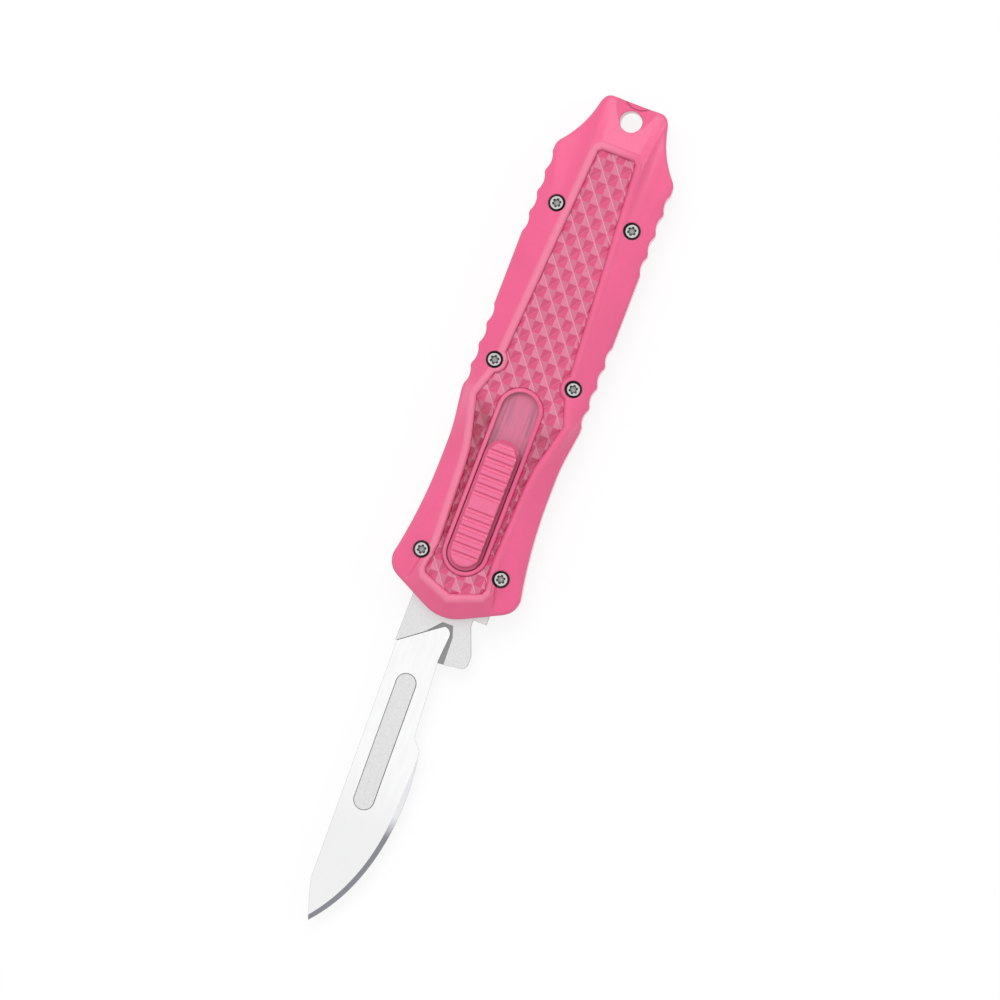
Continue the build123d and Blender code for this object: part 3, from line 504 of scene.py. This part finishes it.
def panel_painted_light(tree, tone):
    """Painted highlights on two faces of each stud, those along one diagonal, and on the ridges and creases
    between them, and painted shade in the two narrow strips beside the slide."""
    handle = bpy.context.scene.craftknife_handle
    along, across, height = axes(tree, object_coordinates(tree))
    facing = true_normal(tree)
    # on the faces with a painted highlight the normal leans along X and Y with opposite signs
    lit_faces = remap(tree, multiply(tree, facing[0], facing[1]), -0.02, 0.02, 1.0, 0.0)
    tone = blend_colours(tree, lit_faces, tone, STUD_FACE_HIGHLIGHT)
    # the two sines have one sign in every second cell of the lattice, those with highlighted faces
    from_valley = calculate(tree, "SUBTRACT", along, X_VALLEY)
    wave_x = calculate(tree, "SINE", multiply(tree, from_valley, math.pi * MM / handle.cell_length))
    wave_y = calculate(tree, "SINE", multiply(tree, across, math.pi * MM / handle.cell_width))
    cell = remap(tree, multiply(tree, wave_x, wave_y), -0.03, 0.02, 0.0, 1.0)
    # painted highlights on the ridges and flat creases of every second cell
    flat = remap(tree, calculate(tree, "ABSOLUTE", facing[2]), 0.985, 0.995, 0.0, 0.8)
    pale = edge_line(tree, tone, 0.1 * MM, RIDGE_HIGHLIGHT, 0.55)
    pale = blend_colours(tree, flat, pale, CREASE_HIGHLIGHT)
    tone = blend_colours(tree, cell, tone, pale)
    # painted shade in the strips beside the slide, on the front alone
    beside = within(tree, along, 58.0, 80.0, 4.0)
    depth = remap(tree, across, -4.0, 4.0, 0.75, 0.5)
    strips = multiply(tree, beside, depth, remap(tree, height, 0.0, 1.0, 0.0, 1.0))
    return blend_colours(tree, strips, tone, STRIP_SHADE)


def blade_grind_and_light(tree, tone):
    """Flats painted darker towards the tip, and a ground bevel painted dark there, as painted reflection;
    painted shade lines on edges.
    """
    along = axes(tree, object_coordinates(tree))[0]
    upright = calculate(tree, "ABSOLUTE", true_normal(tree)[2])
    bevel = remap(tree, upright, 0.988, 0.996, 1.0, 0.0)
    # flats painted darker towards the tip: painted reflection
    tone = blend_colours(tree, remap(tree, along, 122.0, 134.0, 0.0, 1.0), tone, BLADE_FRONT_REFLECTION)
    # the ground bevel in its own tone behind, painted dark ahead as painted reflection
    ground = blend_colours(tree, remap(tree, along, 130.0, 134.0, 0.0, 1.0), BEVEL_BEHIND, BEVEL_AHEAD_REFLECTION)
    tone = blend_colours(tree, bevel, tone, ground)
    # painted shade lines along the edges
    return edge_line(tree, tone, 0.14 * MM, BLADE_EDGE_SHADE, 0.8)


def carrier_painted_shade(tree, tone):
    """Painted shade in the recess under the blade's heel, darker than the top, and painted shade lines on its
    edges.
    """
    height = axes(tree, object_coordinates(tree))[2]
    not_below = remap(tree, true_normal(tree)[2], -0.5, 0.0, 0.0, 1.0)
    # painted shade low in the recess
    recess = multiply(tree, remap(tree, height, -1.3, -1.0, 0.75, 0.0), not_below)
    tone = blend_colours(tree, recess, tone, CARRIER_RECESS_SHADE)
    return edge_line(tree, tone, 0.14 * MM, CARRIER_EDGE_SHADE, 0.85)


def screw_painted_shade(tree, tone):
    """Painted shade on the chamfer and socket walls, and on a socket floor that is grey only in its middle.
    """
    place = axes(tree, object_coordinates(tree))
    height = place[2]
    # painted shade on the chamfer, the socket walls and the socket floor
    tone = blend_colours(tree, remap(tree, height, 4.6, 4.67, 1.0, 0.0), tone, SOCKET_WALL_SHADE)
    off_middle = remap(tree, screw_distance(tree, place), 0.3, 0.6, 0.0, 1.0)
    floor = blend_colours(tree, off_middle, SOCKET_FLOOR_SHADE, SOCKET_RIM_SHADE)
    return blend_colours(tree, remap(tree, height, 4.12, 4.16, 1.0, 0.0), tone, floor)


def steel_material(
    name, colour, roughness, grain=(1.0, 1.0, 1.0), turn=0.0, softness=0.08 * MM, contrast=1.0, wear_and_light=None
):
    """Bare steel: grain stretched along one direction, small blotches and soft edges. The function given
    last adds the marks and the painted light and shade of one piece to its tone."""
    material, tree, output = new_material(name)
    lines = noise(tree, object_coordinates(tree, grain, turn), 2.0, 5.0, 0.6)
    blotch = noise(tree, object_coordinates(tree), 0.9, 3.0)
    streaky = remap(tree, lines, 0.3, 0.7, 0.0, 1.0)
    tone = blend_colours(tree, streaky, shade(colour, 1.0 - 0.06 * contrast), shade(colour, 1.03))
    tone = blend_colours(tree, remap(tree, blotch, 0.5, 0.8, 0.0, 0.25 * contrast), tone, shade(colour, 0.88))
    if wear_and_light:
        tone = wear_and_light(tree, tone)
    soft = add_node(tree, "ShaderNodeBevel", {"Radius": softness}, samples=4)
    relief = {"Strength": 0.1 * contrast, "Distance": 0.01 * MM, "Height": lines}
    bump = add_node(tree, "ShaderNodeBump", {**relief, "Normal": soft.outputs["Normal"]})
    body = add_node(
        tree,
        "ShaderNodeBsdfPrincipled",
        {
            "Base Color": tone,
            "Metallic": 1.0,
            "Roughness": remap(tree, lines, 0.3, 0.7, roughness - 0.05, roughness + 0.06),
            "Normal": bump.outputs["Normal"],
        },
    )
    tree.links.new(body.outputs["BSDF"], output.inputs["Surface"])
    return material


def rubber_material(name):
    """Dark rubber with a fine grain."""
    material, tree, output = new_material(name)
    grain = noise(tree, object_coordinates(tree), 6.0, 4.0)
    body = add_node(
        tree,
        "ShaderNodeBsdfPrincipled",
        {
            "Base Color": blend_colours(tree, grain, (0.02, 0.02, 0.022), (0.035, 0.035, 0.037)),
            "Roughness": remap(tree, grain, 0.3, 0.7, 0.75, 0.9),
        },
    )
    tree.links.new(body.outputs["BSDF"], output.inputs["Surface"])
    return material


def dress(node, material):
    """Gives a CAD node one material."""
    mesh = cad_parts[node].data
    mesh.materials.clear()
    mesh.materials.append(material)


# ---------------------------------------------------------------- mesh helpers
def mesh_object(name, points, faces, material):
    """An object made from arrays of points and faces, at the origin."""
    mesh = bpy.data.meshes.new(name)
    mesh.from_pydata(points.tolist(), [], [f.tolist() for f in faces])
    mesh.validate()
    mesh.update()
    if material:
        mesh.materials.append(material)
    piece = bpy.data.objects.new(name, mesh)
    bpy.context.scene.collection.objects.link(piece)
    return piece


def prism(name, outline, low, high):
    """Closed prism: the outline's points at two heights, one side face between each pair of
    neighbours, and one face with many corners on each end."""
    count = len(outline)
    points = np.zeros((2 * count, 3))
    points[:count, :2] = outline
    points[count:, :2] = outline
    points[:count, 2] = low
    points[count:, 2] = high
    here = np.arange(count)
    after = (here + 1) % count
    sides = np.stack([here, after, after + count, here + count], axis=1)
    faces = [*sides, here[::-1], here + count]
    return mesh_object(name, points, faces, None)


def oval(centre_x, length, width, steps=24):
    """Outline of a slot: two half circles of radius width / 2 round points on the X axis."""
    radius = width / 2
    reach = length / 2 - radius
    turn = np.linspace(-np.pi / 2, np.pi / 2, steps)
    right = np.stack([centre_x + reach + radius * np.cos(turn), radius * np.sin(turn)], axis=1)
    left = np.stack([centre_x - reach - radius * np.cos(turn), -radius * np.sin(turn)], axis=1)
    return np.concatenate([right, left])


def circle(centre, radius, steps=32):
    """Outline of a circle."""
    turn = np.arange(steps) * 2 * np.pi / steps
    return np.stack([centre[0] + radius * np.cos(turn), centre[1] + radius * np.sin(turn)], axis=1)


def cut(piece, outline, operation):
    """Applies a boolean with an outline in millimetres, made an upright solid, which then goes."""
    tool = prism("cutter", outline * MM, *(z * MM for z in CUTTER_HEIGHTS))
    modifier = piece.modifiers.new("cut", "BOOLEAN")
    modifier.object = tool
    modifier.operation = operation
    modifier.solver = "EXACT"
    graph = bpy.context.evaluated_depsgraph_get()
    graph.update()
    mesh = bpy.data.meshes.new_from_object(piece.evaluated_get(graph))
    piece.modifiers.clear()
    piece.data = mesh
    bpy.data.objects.remove(tool)


def turn_over(mesh):
    """Mirrors a mesh in the plane z = 0 and keeps its faces outward."""
    places = np.empty(3 * len(mesh.vertices), np.float32)
    mesh.vertices.foreach_get("co", places)
    places[2::3] *= -1
    mesh.vertices.foreach_set("co", places)
    mesh.flip_normals()


# ---------------------------------------------------------------- diamond panels
def diamond_field(span, half, pitch, x_valley, low, foot, height, valley):
    """Field of diamond studs on a lattice whose point (m, k) lies at x = x_valley + m * pitch_x and
    y = k * pitch_y. A point with m + k odd is a stud's peak at foot + height, and the four points
    next to it are corners of its diamond, down in the valleys. Each face runs from the peak to a foot
    line, which is the diamond shrunk towards the peak by half the valley's width, and a flat strip
    at the height foot runs from there to the valley's middle line. A flat grid at the height low
    closes the body."""
    pitch_x, pitch_y = pitch
    first_m = math.floor((span[0] - x_valley) / pitch_x)
    last_m = math.ceil((span[1] - x_valley) / pitch_x)
    m = np.arange(first_m, last_m + 1)
    reach = math.ceil(half / pitch_y)
    k = np.arange(-reach, reach + 1)
    rows, cols = len(m), len(k)
    grid_m, grid_k = np.meshgrid(m, k, indexing="ij")
    x = x_valley + grid_m * pitch_x
    y = grid_k * pitch_y
    odd = (grid_m + grid_k) % 2 == 1
    lattice = np.stack([x, y, foot + height * odd], axis=-1).reshape(-1, 3)
    base = np.stack([x, y, np.full_like(x, low)], axis=-1).reshape(-1, 3)
    index = np.arange(rows * cols).reshape(rows, cols)
    # every lattice step from a peak to a neighbour carries one foot point near the neighbour
    shrink = 1 - 0.5 * valley * math.hypot(pitch_x, pitch_y) / (pitch_x * pitch_y)
    steps = np.array(((1, 0), (0, 1), (-1, 0), (0, -1)))
    row, col = np.indices((rows, cols))
    feet, foot_index = [], np.full((4, rows, cols), -1)
    count = 2 * rows * cols
    for turn, (dm, dk) in enumerate(steps):
        fits = odd & (row + dm >= 0) & (row + dm < rows) & (col + dk >= 0) & (col + dk < cols)
        foot_index[turn][fits] = count + np.arange(fits.sum())
        count += fits.sum()
        foot_x = x[fits] + shrink * dm * pitch_x
        foot_y = y[fits] + shrink * dk * pitch_y
        feet.append(np.stack([foot_x, foot_y, np.full_like(foot_x, foot)], axis=-1))
    points = np.concatenate([lattice, base, *feet])
    # one face and one valley strip for every quarter of every diamond
    faces, strips = [], []
    for turn in range(4):
        after = (turn + 1) % 4
        whole = (foot_index[turn] >= 0) & (foot_index[after] >= 0)
        first, second = foot_index[turn][whole], foot_index[after][whole]
        near = index[row[whole] + steps[turn][0], col[whole] + steps[turn][1]]
        far = index[row[whole] + steps[after][0], col[whole] + steps[after][1]]
        faces.append(np.stack([index[whole], first, second], 1))
        strips.append(np.stack([first, near, far, second], 1))
    under = rows * cols
    bottom = np.stack([index[:-1, :-1], index[:-1, 1:], index[1:, 1:], index[1:, :-1]], -1)
    bottom = bottom.reshape(-1, 4) + under
    # the sides go down from each step along the border, through the foot point on that step
    edge = np.concatenate([index[:, 0], index[-1, 1:], index[-2::-1, -1], index[0, -2:0:-1]])
    after = np.roll(edge, -1)
    from_peak = odd.ravel()[edge]
    peak, valley_end = np.where(from_peak, edge, after), np.where(from_peak, after, edge)
    step = np.stack([valley_end // cols - peak // cols, valley_end % cols - peak % cols], 1)
    turn = np.argmax((step[:, None, :] == steps[None]).all(axis=2), axis=1)
    middle = foot_index[turn, peak // cols, peak % cols]
    sides = np.stack([edge, edge + under, after + under, after, middle], 1)
    return points, [*np.concatenate(faces), *np.concatenate(strips), *bottom, *sides]


class CRAFTKNIFE_OT_diamond_panels(bpy.types.Operator):
    """Make the diamond textured panels in the two recesses"""

    bl_idname = "craftknife.diamond_panels"
    bl_label = "Diamond panels"

    def execute(self, context):
        handle = context.scene.craftknife_handle
        paint = bpy.data.materials["panel_paint"]
        points, faces = diamond_field(
            [x * MM for x in FIELD_ENDS],
            FIELD_HALF * MM,
            (handle.cell_length, handle.cell_width),
            X_VALLEY * MM,
            PANEL_UNDERSIDE * MM,
            STUD_FOOT * MM,
            handle.stud_height,
            handle.valley_width,
        )
        # the recess's outline drawn in by a gap, and closed by its mirror image
        side = RECESS.copy()
        side[:, 1] -= PANEL_GAP
        side[-1, 1] = 0.0
        side[:, 0] += np.where(side[:, 0] < 10, PANEL_GAP, -0.3 * PANEL_GAP)
        outline = np.concatenate([side, side[-2::-1] * (1, -1)])
        for name in ("front_panel", "back_panel"):
            panel = mesh_object(name, points, faces, paint)
            cut(panel, outline, "INTERSECT")
            if name == "front_panel":
                cut(panel, oval(*RIM), "DIFFERENCE")
                for x, y in BOSS_SCREWS:
                    for way in (1, -1):
                        cut(panel, circle((x, way * y), BOSS_RADIUS), "DIFFERENCE")
            else:
                turn_over(panel.data)
            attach(panel, "handle")
        return {"FINISHED"}


class CRAFTKNIFE_OT_painted_handle(bpy.types.Operator):
    """Paint the shells and the thumb slide"""

    bl_idname = "craftknife.painted_handle"
    bl_label = "Painted handle"

    def execute(self, context):
        handle = context.scene.craftknife_handle
        shell = paint_material("shell_paint", handle.paint, handle.gloss, handle.edge_softness, shell_wear_and_light)
        slide = paint_material("slide_paint", handle.paint, handle.gloss, 0.15 * MM, slide_painted_light)
        paint_material("panel_paint", handle.panel_paint, handle.gloss, 0.05 * MM, panel_painted_light)
        dress("front_shell", shell)
        dress("back_shell", shell)
        dress("thumb_slide", slide)
        return {"FINISHED"}


class CRAFTKNIFE_OT_steel_parts(bpy.types.Operator):
    """Finish the blade, its carrier, the screws and the pieces inside"""

    bl_idname = "craftknife.steel_parts"
    bl_label = "Steel parts"

    def execute(self, context):
        steel = context.scene.craftknife_steel
        brushed = {"grain": (0.1, 0.5, 1.0), "contrast": 0.35, "softness": 0.04 * MM}
        blade = steel_material("blade_steel", steel.blade, 0.18, wear_and_light=blade_grind_and_light, **brushed)
        carrier = steel_material("carrier_steel", steel.carrier, 0.32, wear_and_light=carrier_painted_shade)
        screw = steel_material("screw_steel", steel.screw, 0.28, softness=0.03 * MM, wear_and_light=screw_painted_shade)
        pin = steel_material("pin_steel", steel.screw, 0.3)
        inner = steel_material("inner_steel", shade(steel.screw, 0.7), 0.4)
        dress("scalpel_blade", blade)
        dress("blade_carrier", carrier)
        dress("case_screws", screw)
        for node in ("drive_stud", "stem_pin", "front_latch_pin", "rear_latch_pin", "front_stop_pin"):
            dress(node, pin)
        for node in ("slide_carriage", "left_main_spring", "right_main_spring"):
            dress(node, inner)
        for end in ("front", "rear"):
            for node in ("mule", "latch", "latch_spring"):
                dress(f"{end}_{node}", inner)
        dress("rear_bumper", rubber_material("bumper_rubber"))
        return {"FINISHED"}


def background_rays(tree):
    """One for the rays that show the pale background: the camera's, and those of gloss and glass."""
    path = add_node(tree, "ShaderNodeLightPath").outputs
    glossy = calculate(tree, "MAXIMUM", path["Is Glossy Ray"], path["Is Transmission Ray"])
    return calculate(tree, "MAXIMUM", path["Is Camera Ray"], glossy)


def area_light(name, azimuth, elevation, reach, side, power, mirrored):
    """A square soft box at an azimuth and elevation from the lamps' target, turned to face it."""
    lamp = bpy.data.lights.new(name, "AREA")
    lamp.size = side
    lamp.energy = power
    piece = bpy.data.objects.new(name, lamp)
    bpy.context.scene.collection.objects.link(piece)
    turn, rise = math.radians(azimuth), math.radians(elevation)
    direction = Vector((math.cos(rise) * math.cos(turn), math.cos(rise) * math.sin(turn), math.sin(rise)))
    piece.location = Vector(LAMP_TARGET) + reach * direction
    piece.rotation_euler = direction.to_track_quat("Z", "Y").to_euler()
    piece.visible_glossy = mirrored


def stand_camera(scene, studio):
    """The camera over the slide's face, with its right and up directions in the handle's plane."""
    target = MM * Vector(CAMERA_TARGET)
    roll, tilt = studio.roll, studio.tilt
    back = Vector((0.0, math.sin(tilt), math.cos(tilt)))
    up = Vector((-math.cos(roll), -math.sin(roll), 0.0))
    up = (up - up.dot(back) * back).normalized()
    right = up.cross(back)
    lens = bpy.data.cameras.new("camera")
    lens.sensor_width = SENSOR
    lens.lens = SENSOR * studio.camera_distance / studio.frame_width
    lens.clip_end = 20.0
    camera = bpy.data.objects.new("camera", lens)
    scene.collection.objects.link(camera)
    turn = Matrix((right, up, back)).transposed().to_4x4()
    camera.matrix_world = Matrix.Translation(target + studio.camera_distance * back) @ turn
    scene.camera = camera


def lay_floor():
    """The floor just under the handle's back: white to the camera and to gloss, with a light shadow."""
    material, tree, output = new_material("floor_paper")
    grain = noise(tree, object_coordinates(tree), 0.05, 3.0)
    paper = blend_colours(tree, grain, (0.93, 0.93, 0.93), (0.95, 0.95, 0.95))
    diffuse = add_node(tree, "ShaderNodeBsdfDiffuse", {"Color": paper})
    glow = add_node(tree, "ShaderNodeEmission", {"Color": (1.0, 1.0, 1.0, 1.0), "Strength": 1.0})
    weight = multiply(tree, background_rays(tree), GLOW_SHARE)
    mix = add_node(tree, "ShaderNodeMixShader", {0: weight, 1: diffuse.outputs[0], 2: glow.outputs[0]})
    tree.links.new(mix.outputs[0], output.inputs["Surface"])
    height = CAD_BOX[0][2] - FLOOR_GAP * MM
    far = FLOOR_HALF
    corners = np.array([(-far, -far, height), (far, -far, height), (far, far, height), (-far, far, height)])
    mesh_object("floor", corners, [np.arange(4)], material)


def hang_sky(scene, strength):
    """The sky: white to the camera and to gloss, and even light of the given strength on the knife."""
    world = bpy.data.worlds.new("sky")
    scene.world = world
    world.use_nodes = True
    tree = world.node_tree
    tree.nodes.clear()
    output = tree.nodes.new("ShaderNodeOutputWorld")
    level = remap(tree, background_rays(tree), 0.0, 1.0, strength, 1.0)
    sky = add_node(tree, "ShaderNodeBackground", {"Color": (1.0, 1.0, 1.0, 1.0), "Strength": level})
    tree.links.new(sky.outputs[0], output.inputs["Surface"])


class CRAFTKNIFE_OT_studio(bpy.types.Operator):
    """Set up the floor, the lights and the camera"""

    bl_idname = "craftknife.studio"
    bl_label = "Studio"

    def execute(self, context):
        scene = context.scene
        studio = scene.craftknife_studio
        stand_camera(scene, studio)
        lay_floor()
        hang_sky(scene, studio.sky)
        for lamp in LAMPS:
            area_light(*lamp)
        scene.view_settings.view_transform = "Standard"
        return {"FINISHED"}


class CRAFTKNIFE_PT_panel(bpy.types.Panel):
    """Lists the knife's settings and steps"""

    bl_idname = "CRAFTKNIFE_PT_panel"
    bl_label = "Craft knife"
    bl_space_type = "VIEW_3D"
    bl_region_type = "UI"
    bl_category = "Craft knife"

    def draw(self, context):
        scene = context.scene
        handle, steel, studio = scene.craftknife_handle, scene.craftknife_steel, scene.craftknife_studio
        paint_fields = ("paint", "panel_paint", "gloss", "edge_softness")
        stud_fields = ("cell_length", "cell_width", "stud_height", "valley_width")
        camera_fields = ("camera_distance", "frame_width", "roll", "tilt", "sky")
        for group, fields, step in (
            (handle, paint_fields, "craftknife.painted_handle"),
            (handle, stud_fields, "craftknife.diamond_panels"),
            (steel, ("blade", "carrier", "screw"), "craftknife.steel_parts"),
            (studio, camera_fields, "craftknife.studio"),
        ):
            box = self.layout.box()
            for field in fields:
                box.prop(group, field)
            box.operator(step)


CLASSES = (
    HandleSettings,
    SteelSettings,
    StudioSettings,
    CRAFTKNIFE_OT_painted_handle,
    CRAFTKNIFE_OT_diamond_panels,
    CRAFTKNIFE_OT_steel_parts,
    CRAFTKNIFE_OT_studio,
    CRAFTKNIFE_PT_panel,
)


def register():
    for cls in CLASSES:
        bpy.utils.register_class(cls)
    bpy.types.Scene.craftknife_handle = bpy.props.PointerProperty(type=HandleSettings)
    bpy.types.Scene.craftknife_steel = bpy.props.PointerProperty(type=SteelSettings)
    bpy.types.Scene.craftknife_studio = bpy.props.PointerProperty(type=StudioSettings)


def unregister():
    del bpy.types.Scene.craftknife_studio
    del bpy.types.Scene.craftknife_steel
    del bpy.types.Scene.craftknife_handle
    for cls in reversed(CLASSES):
        bpy.utils.unregister_class(cls)


def main():
    register()
    bpy.ops.craftknife.painted_handle()
    bpy.ops.craftknife.diamond_panels()
    bpy.ops.craftknife.steel_parts()
    bpy.ops.craftknife.studio()


if __name__ == "__main__":
    main()
